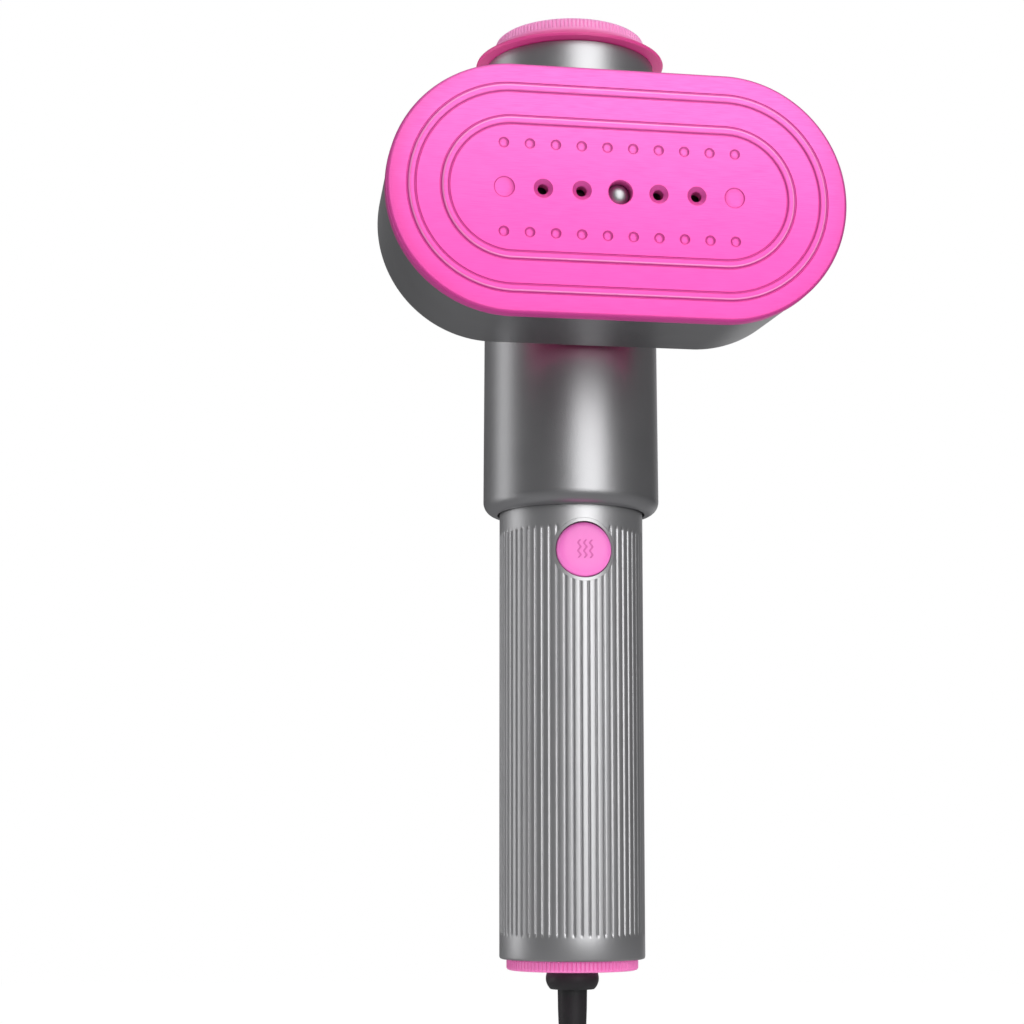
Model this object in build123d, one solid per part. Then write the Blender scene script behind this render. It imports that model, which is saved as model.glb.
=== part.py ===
from build123d import *
import math
import os

os.makedirs("parts", exist_ok=True)

# A handheld garment steamer: a water barrel on a fluted grip, a swivelling heated head in front of the
# barrel, a screw cap on top and a mains lead below.
# Millimetres. +Z runs up the grip and barrel, the head and the steam button face -Y, and the display
# and the water level slot face +Y. The origin is the centre of the fluted grip.

# Driving dimensions
BARREL_R = 27.0  # at its lower end
BARREL_TOP_R = 26.2
BARREL_BORE_R = 24.2
BARREL_LENGTH = 142.0
GRIP_R = 22.0
GRIP_LENGTH = 135.0
FLUTES = 58
HUB_HEIGHT = 79.0  # swivel axis above the barrel's lower end
HEAD_LENGTH = 131.0
HEAD_WIDTH = 71.0
HEAD_FRONT = 75.5  # soleplate face, in front of the barrel's axis
HEAD_BACK = 31.0  # rim of the rear cover, in front of the barrel's axis
PLATE_THICK = 4.0
CAP_FLANGE_R = 29.5
CAP_KNURL_R = 23.35
CAP_RISE = 8.2
BUTTON_R = 8.35
CORD_D = 7.0
COIL_INNER_R = 35.5  # middle of the inner layer of turns
FIT = 0.05  # gap between pieces that are fixed to each other
RUN = 0.08  # radial gap of a running fit
CLEAR = 0.3  # gap between pieces that move past each other

# Levels along the axis
GRIP_TOP = GRIP_LENGTH / 2
GRIP_BOTTOM = -GRIP_LENGTH / 2
BARREL_TOP = GRIP_TOP + BARREL_LENGTH
HUB_Z = GRIP_TOP + HUB_HEIGHT
BUTTON_Z = GRIP_TOP - 13.5


def keep(name, shape):
    """Write one sub-part's STEP file."""
    shape.label = name
    export_step(shape, f"parts/{name}.step")


def tube_z(outer, inner, low, high, at=(0, 0)):
    """A ring or a disc (inner 0) standing on the level low."""
    face = Pos(*at) * Circle(outer)
    if inner:
        face -= Pos(*at) * Circle(inner)
    return extrude(Plane.XY.offset(low) * face, high - low)


def tube_y(outer, inner, near, far, at=(0, HUB_Z)):
    """A ring or a disc whose axis is along -Y, between two distances in front of the barrel's axis."""
    face = Pos(*at) * Circle(outer)
    if inner:
        face -= Pos(*at) * Circle(inner)
    return extrude(Plane.XZ.offset(near) * face, far - near)


def oval(length, width, near, far, taper=0.0):
    """A prism with the head's rounded outline, between two distances in front of the barrel's axis."""
    face = Plane.XZ.offset(near) * (Pos(0, HUB_Z) * SlotOverall(length, width))
    return extrude(face, far - near, taper=taper)


def oval_ring(length, width, wall, near, far):
    """A ring of the head's outline with a level wall."""
    return oval(length, width, near, far) - oval(length - 2 * wall, width - 2 * wall, near, far)


def block(low, high):
    """A box between two corners."""
    size = [b - a for a, b in zip(low, high)]
    middle = [(a + b) / 2 for a, b in zip(low, high)]
    return Pos(*middle) * Box(*size)


def around(count, make, start=0.0):
    """The same piece, turned to count even places about the Z axis."""
    return [Rot(0, 0, start + 360 * i / count) * make for i in range(count)]


def bent_tube(points, radius, bore=0.0):
    """A tube of straight runs and tangent arcs, each arc as large as its two runs allow."""
    path_points = [Vector(*p) for p in points]
    radii = []
    for before, corner, after in zip(path_points, path_points[1:], path_points[2:]):
        turn = (corner - before).get_angle(after - corner)
        shorter = min((corner - before).length, (after - corner).length)
        radii.append(0.45 * shorter / math.tan(math.radians(turn / 2)))
    path = FilletPolyline(*path_points, radius=radii)
    start = Plane(origin=path @ 0, z_dir=path % 0)
    face = start * (Circle(radius) - Circle(bore) if bore else Circle(radius))
    tube = sweep(face, path=path)
    section = math.pi * (radius**2 - bore**2)
    share = tube.volume / (section * path.length)
    print("arcs", [round(r, 1) for r in radii], "length", round(path.length, 1), "volume", round(share, 4))
    return tube


# ---- Barrel: outer shell with the level slot, the display recess and the hub hole ----
SLOT_WIDTH = 6.8
SLOT_LENGTH = 80.0
SLOT_TOP = BARREL_TOP - 10.5
SLOT_Z = SLOT_TOP - SLOT_LENGTH / 2
DISPLAY_LOW = GRIP_TOP + 7.0
DISPLAY_HIGH = DISPLAY_LOW + 39.0
DISPLAY_HALF_ANGLE = 65.0
LENS_BACK_R = BARREL_R - 1.1
BUSH_R = 10.0
LIP_R = 4.0


def barrel_outside(grow=0.0):
    """The barrel's slightly conical outside, with its rounded lower lip."""
    with BuildSketch(Plane.XZ) as profile:
        with BuildLine():
            Line((0, GRIP_TOP), (BARREL_R - LIP_R + grow, GRIP_TOP))
            RadiusArc((BARREL_R - LIP_R + grow, GRIP_TOP), (BARREL_R + grow, GRIP_TOP + LIP_R), -LIP_R)
            Line((BARREL_R + grow, GRIP_TOP + LIP_R), (BARREL_TOP_R + grow, BARREL_TOP))
            Line((BARREL_TOP_R + grow, BARREL_TOP), (0, BARREL_TOP))
            Line((0, BARREL_TOP), (0, GRIP_TOP))
        make_face()
    return revolve(profile.sketch, Axis.Z)



def wrapped(low, high, half_angle, inner, outer, corner=0.0):
    """A panel wrapped round the back of the barrel, centred on +Y."""
    with BuildSketch(Plane.XZ) as profile:
        with Locations(((inner + outer) / 2, (low + high) / 2)):
            Rectangle(outer - inner, high - low)
    panel = Rot(0, 0, 90 - half_angle) * revolve(profile.sketch, Axis.Z, revolution_arc=2 * half_angle)
    if corner:
        lines = panel.edges().filter_by(GeomType.LINE)
        panel = fillet([e for e in lines if abs(e.length - (outer - inner)) < 0.01], corner)
    return panel


def slot_prism(width, length, near, far):
    """A round-ended upright bar through the back of the barrel, between two distances along +Y."""
    face = Plane.XZ.offset(-far) * (Pos(0, SLOT_Z) * SlotOverall(length, width, rotation=90))
    return extrude(face, far - near)


barrel = barrel_outside()
barrel -= tube_z(BARREL_BORE_R, 0, GRIP_TOP + 2.6, BARREL_TOP + 1)
barrel -= tube_z(GRIP_R + 0.7, 0, GRIP_TOP - 1, GRIP_TOP + 3)
barrel -= slot_prism(SLOT_WIDTH, SLOT_LENGTH, 20, 40)
barrel -= wrapped(DISPLAY_LOW, DISPLAY_HIGH, DISPLAY_HALF_ANGLE, LENS_BACK_R, BARREL_R + 5)
barrel -= block((-18, 10, DISPLAY_LOW + 6), (18, 40, DISPLAY_HIGH - 4))
barrel -= tube_y(BUSH_R + FIT, 0, 5, 40)
keep("barrel_shell", barrel)

# ---- Level window: a clear strip that closes the slot from inside ----
window = slot_prism(SLOT_WIDTH - 2 * FIT, SLOT_LENGTH - 2 * FIT, 15, 40)
window &= tube_z(BARREL_BORE_R + 1.1, BARREL_BORE_R - 0.2, SLOT_Z - 50, SLOT_Z + 50)
keep("level_window", window)

# ---- Display: wrapped gloss lens, lit digits behind it, the LED block and its board ----
LENS_THICK = 0.75
LENS_INNER_R = BARREL_R - LENS_THICK
LENS_SPAN = (DISPLAY_LOW + FIT, DISPLAY_HIGH - FIT, DISPLAY_HALF_ANGLE - 0.1)
lens = wrapped(*LENS_SPAN, LENS_INNER_R, BARREL_R + 1, corner=2.5)
lens &= barrel_outside()
keep("display_lens", lens)

DIGIT_HIGH = 15.5
DIGIT_WIDE = 8.6
DIGIT_PITCH = 12.0
SEGMENT = 2.0
DIGIT_Z = DISPLAY_HIGH - 18.0
SEGMENTS = {"1": "bc", "5": "acdfg", "0": "abcdef"}


def segment_bar(name):
    """One bar of a seven-segment figure, about the figure's middle."""
    half, side = DIGIT_HIGH / 2 - SEGMENT / 2, DIGIT_WIDE / 2 - SEGMENT / 2
    long_bar, short_bar = half - SEGMENT - 0.6, DIGIT_WIDE - 2 * SEGMENT - 0.4
    flat = {"a": half, "g": 0.0, "d": -half}
    if name in flat:
        return Pos(0, flat[name]) * Rectangle(short_bar, SEGMENT)
    x = side if name in "bc" else -side
    y = half / 2 if name in "bf" else -half / 2
    return Pos(x, y) * Rectangle(SEGMENT, long_bar)


bars = []
for place, figure in enumerate("150"):
    for name in SEGMENTS[figure]:
        # The figures are read from behind the barrel, so they run from +X to -X.
        bar = Pos((place - 1) * -DIGIT_PITCH, DIGIT_Z) * (Rot(0, 180, 0) * segment_bar(name))
        bars.append(extrude(Plane.XZ.offset(-40) * bar, 30, both=True))
guide_shell = tube_z(LENS_INNER_R - FIT, LENS_BACK_R + FIT, DISPLAY_LOW, DISPLAY_HIGH)
guide_shell &= block((-40, 0, DISPLAY_LOW), (40, 40, DISPLAY_HIGH))
keep("display_digits", Compound(children=[s for bar in bars for s in (bar & guide_shell).solids()]))
keep("display_module", block((-17, 11.8, DISPLAY_LOW + 8), (17, 16.3, DISPLAY_HIGH - 6)))
keep("display_board", block((-20, 10.1, DISPLAY_LOW + 4), (20, 11.7, DISPLAY_HIGH - 3)))

# ---- Water tank and its filler neck ----
TANK_R = BARREL_BORE_R - 0.3
TANK_WALL = 1.6
TANK_LOW = DISPLAY_HIGH + 4.0
TANK_HIGH = BARREL_TOP - 7.0
TANK_FLAT = -7.0  # flat front wall behind the swivel, up to the shelf over it
TANK_SHELF = HUB_Z + 22.0
NECK_BORE_R = 12.5
NECK_R = 15.0
NECK_TOP = BARREL_TOP + 2.0


def tank_form(inset):
    """The tank's round form with the room for the swivel cut out of its front."""
    form = tube_z(TANK_R - inset, 0, TANK_LOW + inset, TANK_HIGH - inset)
    return form - block((-40, -40, TANK_LOW - 1), (40, TANK_FLAT + inset, TANK_SHELF + inset))


OUTLET = (8.0, 8.0)
tank = tank_form(0) - tank_form(TANK_WALL)
tank -= tube_z(NECK_BORE_R + FIT, 0, TANK_HIGH - 3, TANK_HIGH + 1)
tank += tube_z(3.0, 1.6, TANK_LOW - 3, TANK_LOW + 0.5, OUTLET)
tank -= tube_z(1.6, 0, TANK_LOW - 4, TANK_LOW + 2, OUTLET)
keep("water_tank", tank)
neck = tube_z(TANK_R, NECK_BORE_R, TANK_HIGH + FIT, TANK_HIGH + 2)
neck += tube_z(NECK_R, NECK_BORE_R, TANK_HIGH + 1.5, NECK_TOP)
keep("filler_neck", neck)

# ---- Screw cap with its knurled top, and its sealing ring ----
CAP_LOW = BARREL_TOP + CLEAR
CAP_TOP = CAP_LOW + CAP_RISE
SKIRT_LOW = TANK_HIGH + 3.2
CAP_CEILING = NECK_TOP + 1.6
with BuildSketch(Plane.XZ) as cap_profile:
    with BuildLine():
        Polyline((0, CAP_CEILING), (NECK_R + 0.25, CAP_CEILING), (NECK_R + 0.25, SKIRT_LOW))
        Polyline((NECK_R + 0.25, SKIRT_LOW), (NECK_R + 3, SKIRT_LOW), (NECK_R + 3, CAP_LOW))
        Line((NECK_R + 3, CAP_LOW), (CAP_FLANGE_R - 0.6, CAP_LOW))
        RadiusArc((CAP_FLANGE_R - 0.6, CAP_LOW), (CAP_FLANGE_R - 0.5, CAP_LOW + 1.5), -0.8)
        RadiusArc((CAP_FLANGE_R - 0.5, CAP_LOW + 1.5), (CAP_KNURL_R, CAP_LOW + 4.0), 9.0)
        Line((CAP_KNURL_R, CAP_LOW + 4.0), (CAP_KNURL_R, CAP_TOP - 0.9))
        Line((CAP_KNURL_R, CAP_TOP - 0.9), (CAP_KNURL_R - 0.9, CAP_TOP - 0.1))
        Polyline((CAP_KNURL_R - 0.9, CAP_TOP - 0.1), (0, CAP_TOP), (0, CAP_CEILING))
    make_face()
cap = revolve(cap_profile.sketch, Axis.Z)
knurl = tube_z(0.4, 0, CAP_LOW + 4.3, CAP_TOP + 1, (CAP_KNURL_R + 0.1, 0))
cap -= around(80, knurl)
keep("tank_cap", cap)
keep("cap_seal", tube_z(NECK_R - 0.1, NECK_BORE_R + 0.3, NECK_TOP + FIT, CAP_CEILING - FIT))

# ---- Grip: fluted sleeve, inner liner, and the collar that joins it to the barrel ----
SLEEVE_WALL = 1.8
LINER_R = GRIP_R - SLEEVE_WALL - FIT
LINER_BORE_R = 17.6
COLLAR = 6.0
BAND = 7.0
GUIDE_R = 9.5
with BuildSketch() as fluted:
    Circle(GRIP_R)
    with PolarLocations(GRIP_R + 0.3, FLUTES):
        Circle(0.8, mode=Mode.SUBTRACT)
sleeve = extrude(Plane.XY.offset(GRIP_BOTTOM + BAND) * fluted.sketch, GRIP_LENGTH - BAND - COLLAR)
sleeve += tube_z(GRIP_R, 0, GRIP_TOP - COLLAR, GRIP_TOP + 8)
sleeve += tube_z(GRIP_R, 0, GRIP_BOTTOM, GRIP_BOTTOM + BAND)
sleeve -= tube_z(GRIP_R - SLEEVE_WALL, 0, GRIP_BOTTOM + 2, GRIP_TOP + 9)
sleeve -= tube_z(LINER_BORE_R, 0, GRIP_BOTTOM - 1, GRIP_BOTTOM + 3)
sleeve -= tube_y(GUIDE_R + FIT, 0, 10, 30, (0, BUTTON_Z))
keep("grip_sleeve", sleeve)
liner = tube_z(LINER_R, LINER_BORE_R, GRIP_BOTTOM + 2 + FIT, GRIP_TOP + 8)
liner -= tube_y(GUIDE_R + FIT, 0, 10, 30, (0, BUTTON_Z))
keep("grip_liner", liner)
keep("barrel_collar", tube_z(BARREL_BORE_R - FIT, GRIP_R + FIT, GRIP_TOP + 2.6 + FIT, GRIP_TOP + 6.5))

# ---- Steam button in its guide ring ----
BUTTON_FACE = 22.8
GUIDE_BACK = 17.5
guide = tube_y(GUIDE_R, BUTTON_R + 0.15, GUIDE_BACK, 25, (0, BUTTON_Z))
guide &= tube_z(GRIP_R - 0.1, 0, BUTTON_Z - 12, BUTTON_Z + 12)
keep("button_guide", guide)
button = tube_y(BUTTON_R, 0, GUIDE_BACK - 1, BUTTON_FACE, (0, BUTTON_Z))
button = fillet(button.faces().sort_by(Axis.Y)[0].edges(), 0.6)
button += tube_y(GUIDE_R - 0.2, 0, GUIDE_BACK - 1.3, GUIDE_BACK - CLEAR, (0, BUTTON_Z))
button += tube_y(2.5, 0, GUIDE_BACK - 1.6, GUIDE_BACK - 1, (0, BUTTON_Z))
keep("steam_button", button)

# ---- Control board and the parts on it ----
BOARD_FRONT = 10.0
BOARD_BACK = 8.4
keep("control_board", block((-13.5, -BOARD_FRONT, -48), (13.5, -BOARD_BACK, 64)))
switch = block((-3, -BOARD_FRONT - 3.9, BUTTON_Z - 3), (3, -BOARD_FRONT - FIT, BUTTON_Z + 3))
switch += tube_y(1.7, 0, BOARD_FRONT + 3.5, BOARD_FRONT + 4.4, (0, BUTTON_Z))
keep("button_switch", switch)
keep("capacitor", tube_z(4.8, 0, 18, 34, (-6.5, -3.4)))
keep("relay", block((1.0, -BOARD_BACK + FIT, 16), (13.0, 1.6, 34)))
triac = block((-5, -BOARD_FRONT - 4.5, 20), (5, -BOARD_FRONT - FIT, 35))
keep("triac", triac)
keep("terminal_block", block((-8, -BOARD_FRONT - 5, -44), (8, -BOARD_FRONT - FIT, -35)))

# ---- Water pump and its hoses ----
PUMP_AT = (0.0, 4.6)
PUMP_LOW, PUMP_HIGH = -46.0, -4.0
pump = tube_z(9.4, 0, PUMP_LOW + 6, PUMP_HIGH - 6, PUMP_AT)
pump += tube_z(6.5, 0, PUMP_LOW, PUMP_HIGH, PUMP_AT)
pump += tube_z(2.4, 0, PUMP_HIGH - 1, PUMP_HIGH + 4, (PUMP_AT[0] + 3.5, PUMP_AT[1]))
pump += tube_z(2.4, 0, PUMP_HIGH - 1, PUMP_HIGH + 4, (PUMP_AT[0] - 3.5, PUMP_AT[1]))
keep("water_pump", pump)
bracket = tube_z(17.4, 9.6, -28, -25.5, (0, 0)) - tube_z(9.5, 0, -30, -20, PUMP_AT)
bracket -= block((-20, -20, -30), (20, -BOARD_BACK + 0.4, -20))
keep("pump_bracket", bracket.solids().sort_by(SortBy.VOLUME)[-1])
HOSE_R = 2.2
HOSE_BORE_R = 1.2
PIPE_R = 3.0
ELBOW_NEAR = 8.0
ELBOW_AT = (0, -10.4)
suction = [(3.5, 4.6, 0.2), (3.5, 4.6, 30), (6.5, 9.0, 60), (8.0, 8.0, 86), (8.0, 8.0, TANK_LOW - 3.1)]
keep("suction_hose", bent_tube(suction, HOSE_R, HOSE_BORE_R))
pressure = [(-3.5, 4.6, 0.2), (-3.5, 5.2, 40), (-7.0, 5.0, 70), (-4.0, -2.0, 96), (*ELBOW_AT, 113)]
keep("pressure_hose", bent_tube([*pressure, (*ELBOW_AT, HUB_Z - 6.1)], HOSE_R, HOSE_BORE_R))
elbow = block((-5.2, -ELBOW_NEAR - 5.6, HUB_Z - 4.6), (5.2, -ELBOW_NEAR + 0.6, HUB_Z + 5.0))
elbow += tube_z(2.95, 0, HUB_Z - 9, HUB_Z - 4, ELBOW_AT)
elbow -= tube_y(PIPE_R + RUN, 0, ELBOW_NEAR + 0.8, ELBOW_NEAR + 7)
elbow -= tube_z(HOSE_R + FIT, 0, HUB_Z - 10, HUB_Z - 5.9, ELBOW_AT)
elbow -= tube_z(HOSE_BORE_R, 0, HUB_Z - 10, HUB_Z, ELBOW_AT)
keep("rotary_elbow", elbow)

# ---- Swivel: saddle and bush on the barrel, hollow shaft and disc on the head ----
SADDLE_R = 17.6
SADDLE_FACE = 29.2
SHAFT_R = BUSH_R - 2.5
SHAFT_BORE_R = 5.9
DISC_R = 18.7
COVER_WELL = 32.4  # flat middle of the rear cover
saddle = tube_y(SADDLE_R, BUSH_R + FIT, 10, SADDLE_FACE) - barrel_outside(FIT)
keep("hub_saddle", saddle)
bush = tube_y(BUSH_R, SHAFT_R + RUN, 17.0, SADDLE_FACE - 0.2)
bush += tube_y(13.6, SHAFT_R + RUN, 15.6, 18.4)
keep("hub_bush", bush)
shaft = tube_y(SHAFT_R, SHAFT_BORE_R, 13.9, COVER_WELL - FIT)
shaft -= tube_y(SHAFT_R + 1, SHAFT_R - 0.8, 14.3, 15.2)
keep("swivel_shaft", shaft)
keep("shaft_clip", tube_y(SHAFT_R + 2.4, SHAFT_R - 0.8 + FIT, 14.3 + FIT, 15.2 - FIT))
disc = tube_y(DISC_R, SHAFT_R + FIT, SADDLE_FACE + CLEAR, COVER_WELL - FIT)
keep("hub_disc", chamfer(disc.faces().sort_by(Axis.Y)[-1].edges().sort_by(SortBy.LENGTH)[-1:], 0.6))

# ---- Rear cover: rolled rim, six ridges and a flat middle ----
CASING_BACK = HEAD_BACK + 3.5
BACK_LENGTH, BACK_WIDTH = HEAD_LENGTH - 3.4, HEAD_WIDTH - 3.4
COVER_GAP = 0.9
COVER_LENGTH, COVER_WIDTH = BACK_LENGTH - 2 * COVER_GAP, BACK_WIDTH - 2 * COVER_GAP
RIM_WIDE = 3.6
RIDGE_PITCH = 1.65
RIDGES = 6
cover = oval(COVER_LENGTH, COVER_WIDTH, COVER_WELL, COVER_WELL + 2)
rim = oval_ring(COVER_LENGTH, COVER_WIDTH, RIM_WIDE, HEAD_BACK, COVER_WELL + 0.5)
cover += fillet([e for e in rim.edges() if abs(e.center().Y + HEAD_BACK) < 0.01], 1.3)
for i in range(RIDGES):
    inset = RIM_WIDE + 0.8 + i * RIDGE_PITCH
    ridge = (COVER_LENGTH - 2 * inset, COVER_WIDTH - 2 * inset, 0.8)
    cover += oval_ring(*ridge, COVER_WELL - 0.8, COVER_WELL + 0.5)
cover += oval_ring(BACK_LENGTH - 4.6, BACK_WIDTH - 4.6, 1.6, COVER_WELL + 1, CASING_BACK + 6)
cover -= tube_y(SHAFT_BORE_R, 0, COVER_WELL - 1, COVER_WELL + 4)
SCREW_RING = 12.5
SCREW_STEP = SCREW_RING * math.cos(math.radians(45))
SCREW_PLACES = [(x * SCREW_STEP, HUB_Z + z * SCREW_STEP) for x in (-1, 1) for z in (-1, 1)]
for place in SCREW_PLACES:
    cover -= tube_y(1.6, 0, COVER_WELL - 1, COVER_WELL + 4, place)
keep("rear_cover", cover)
plate = tube_y(17, SHAFT_BORE_R, COVER_WELL + 2 + FIT, COVER_WELL + 4)
hub_screws = []
for place in SCREW_PLACES:
    plate -= tube_y(1.6, 0, COVER_WELL, COVER_WELL + 5, place)
    head = tube_y(2.8, 0, COVER_WELL + 4 + FIT, COVER_WELL + 6, place)
    hub_screws.append(head + tube_y(1.5, 0, COVER_WELL + FIT, COVER_WELL + 5, place))
keep("hub_plate", plate)
keep("hub_screws", Compound(children=[s for screw in hub_screws for s in screw.solids()]))

# ---- Head casing: the tapered grey shell round the steam chamber ----
CASING_WALL = 2.0
PLATE_BACK = HEAD_FRONT - PLATE_THICK
CASING_FRONT = PLATE_BACK - 0.2
TAPER = -math.degrees(math.atan(1.4 / (CASING_FRONT - CASING_BACK)))
casing = oval(BACK_LENGTH, BACK_WIDTH, CASING_BACK, CASING_FRONT, TAPER)
inside = (BACK_LENGTH - 2 * CASING_WALL, BACK_WIDTH - 2 * CASING_WALL)
casing -= oval(*inside, CASING_BACK - 0.01, CASING_FRONT + 0.01, TAPER)
keep("head_casing", casing)

# ---- Soleplate: raised bead rings, steam holes and dimples ----
RING_INSETS = (5.8, 15.0)
RING_WIDE = 2.4
RING_RISE = 0.4
HOLE_PITCH = 10.9
DIMPLE_PITCH = 7.3
DIMPLE_ROW = 12.6
soleplate = oval(HEAD_LENGTH, HEAD_WIDTH, PLATE_BACK, HEAD_FRONT)
soleplate = fillet([e for e in soleplate.edges() if abs(e.center().Y + HEAD_FRONT) < 0.01], 0.8)
for inset in RING_INSETS:
    soleplate += oval_ring(
        HEAD_LENGTH - 2 * inset, HEAD_WIDTH - 2 * inset, RING_WIDE, HEAD_FRONT - 0.5, HEAD_FRONT + RING_RISE
    )
steam_holes = [(i * HOLE_PITCH, HUB_Z) for i in (-2, -1, 1, 2)]
for place in steam_holes:
    soleplate -= tube_y(1.5, 0, PLATE_BACK - 1, HEAD_FRONT + 1, place)
    soleplate -= tube_y(2.8, 0, HEAD_FRONT - 0.8, HEAD_FRONT + 1, place)
soleplate -= tube_y(3.5, 0, PLATE_BACK - 1, HEAD_FRONT + 1)
for x in (-3 * HOLE_PITCH, 3 * HOLE_PITCH):
    soleplate -= tube_y(3.0, 0, HEAD_FRONT - 0.7, HEAD_FRONT + 1, (x, HUB_Z))
for i in range(10):
    for side in (-1, 1):
        place = ((i - 4.5) * DIMPLE_PITCH, HUB_Z + side * DIMPLE_ROW)
        soleplate -= tube_y(1.45, 0, HEAD_FRONT - 0.6, HEAD_FRONT + 1, place)
keep("soleplate", soleplate)
gasket_length, gasket_width = HEAD_LENGTH - 6.4, HEAD_WIDTH - 6.4
keep("plate_gasket", oval_ring(gasket_length, gasket_width, 3.0, PLATE_BACK - 2.5, PLATE_BACK - FIT))

# ---- Steam chamber, its heater and its cover ----
CHAMBER_BACK = PLATE_BACK - 15.5
CHAMBER_FRONT = PLATE_BACK - FIT
POST_LENGTH = 4.5
HEATER_R = 3.2
HEATER_ROW = 13.0
HEATER_REACH = 22.0
chamber = oval(106, 48, CHAMBER_BACK, CHAMBER_FRONT)
chamber -= oval(92, 34, PLATE_BACK - 6, PLATE_BACK + 1)
heater_path = [
    (HEATER_REACH + 8, -CHAMBER_BACK + 6.4, HUB_Z + HEATER_ROW),
    (HEATER_REACH, -CHAMBER_BACK + 0.2, HUB_Z + HEATER_ROW),
    (-HEATER_REACH - 6, -CHAMBER_BACK + 0.2, HUB_Z + HEATER_ROW),
    (-HEATER_REACH - 6, -CHAMBER_BACK + 0.2, HUB_Z - HEATER_ROW),
    (HEATER_REACH, -CHAMBER_BACK + 0.2, HUB_Z - HEATER_ROW),
    (HEATER_REACH + 8, -CHAMBER_BACK + 6.4, HUB_Z - HEATER_ROW),
]


def heater_rod(radius):
    """The U-shaped heater, whose ends rise clear of the chamber."""
    path = FilletPolyline(*heater_path, radius=[9, 9, 9, 9])
    return sweep(Plane(origin=path @ 0, z_dir=path % 0) * Circle(radius), path=path)


chamber -= heater_rod(HEATER_R + FIT)
POSTS = [(x, HUB_Z + side * z) for x, z in ((-40, 15.5), (0, 19.6), (40, 15.5)) for side in (-1, 1)]
for place in POSTS:
    chamber += tube_y(3.0, 0, CHAMBER_BACK - POST_LENGTH, CHAMBER_BACK + 1, place)
    chamber -= tube_y(1.55, 0, CHAMBER_BACK - POST_LENGTH - 1, CHAMBER_BACK + 3, place)
chamber -= tube_y(PIPE_R + FIT, 0, CHAMBER_BACK - 1, PLATE_BACK - 5)
keep("steam_chamber", chamber)
keep("heating_element", heater_rod(HEATER_R))
COVER_NEAR = CHAMBER_BACK - POST_LENGTH - 1.2
shield = oval(108, 50, COVER_NEAR, COVER_NEAR + 1.2 - FIT)
shield -= tube_y(PIPE_R + 0.6, 0, COVER_NEAR - 1, COVER_NEAR + 3)
shield -= tube_y(8.2, 0, COVER_NEAR - 1, COVER_NEAR + 3, (24, HUB_Z))
chamber_screws = []
for place in POSTS:
    shield -= tube_y(1.6, 0, COVER_NEAR - 1, COVER_NEAR + 3, place)
    head = tube_y(2.7, 0, COVER_NEAR - 1.6, COVER_NEAR - FIT, place)
    chamber_screws.append(head + tube_y(1.5, 0, COVER_NEAR - 1, CHAMBER_BACK + 2.5, place))
for side in (-1, 1):
    shield -= block(
        (HEATER_REACH - 1, -COVER_NEAR - 3, HUB_Z + side * HEATER_ROW - 3.6),
        (HEATER_REACH + 15, -COVER_NEAR + 1, HUB_Z + side * HEATER_ROW + 3.6),
    )
keep("heat_shield", shield)
keep("chamber_screws", Compound(children=[s for screw in chamber_screws for s in screw.solids()]))
thermostat = tube_y(7.6, 0, CHAMBER_BACK - 8, CHAMBER_BACK - FIT, (24, HUB_Z))
keep("thermostat", thermostat)
fuse = extrude(Plane.YZ.offset(-21) * (Pos(-CHAMBER_BACK + 2.4, HUB_Z) * Circle(2.0)), 15)
keep("thermal_fuse", fuse)
pipe = tube_y(PIPE_R, 1.8, ELBOW_NEAR + 1.5, PLATE_BACK - 7)
keep("steam_pipe", pipe)

# ---- Bottom end: pink end ring, gland, strain relief ----
END_RING_R = 19.85
END_RING_DEEP = 3.3
END_LOW = GRIP_BOTTOM - END_RING_DEEP
GLAND_NECK_R = 5.0
end_ring = tube_z(END_RING_R, 0, END_LOW, GRIP_BOTTOM - FIT)
end_ring -= around(72, tube_z(0.35, 0, END_LOW + 0.6, GRIP_BOTTOM - 0.6, (END_RING_R + 0.08, 0)))
end_ring += tube_z(LINER_BORE_R - FIT, 13.5, GRIP_BOTTOM - 0.5, GRIP_BOTTOM + 6)
end_ring -= tube_z(GLAND_NECK_R + RUN, 0, END_LOW - 1, GRIP_BOTTOM + 1)
keep("end_ring", end_ring)
GLAND_TOP = END_LOW - CLEAR
GLAND_LOW = GLAND_TOP - 5.4
with BuildSketch(Plane.XZ) as gland_profile:
    with BuildLine():
        Polyline((0, GRIP_BOTTOM + 2.4), (8, GRIP_BOTTOM + 2.4), (8, GRIP_BOTTOM + CLEAR))
        Line((8, GRIP_BOTTOM + CLEAR), (GLAND_NECK_R, GRIP_BOTTOM + CLEAR))
        Polyline((GLAND_NECK_R, GRIP_BOTTOM + CLEAR), (GLAND_NECK_R, GLAND_TOP), (7.4, GLAND_TOP))
        ThreePointArc((7.4, GLAND_TOP), (8.0, GLAND_TOP - 2.2), (6.6, GLAND_LOW))
        Polyline((6.6, GLAND_LOW), (0, GLAND_LOW), (0, GRIP_BOTTOM + 2.4))
    make_face()
keep("cord_gland", revolve(gland_profile.sketch, Axis.Z))
RELIEF_LENGTH = 20.0
RELIEF_LOW = GLAND_LOW - RELIEF_LENGTH
CORD_R = CORD_D / 2
CORD_START = GLAND_LOW - 2.0
relief = Pos(0, 0, (GLAND_LOW + RELIEF_LOW) / 2) * Cone(CORD_R + 0.35, CORD_R + 0.95, RELIEF_LENGTH)
relief -= tube_z(CORD_R, 0, RELIEF_LOW - 1, CORD_START)
keep("strain_relief", relief)

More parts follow.
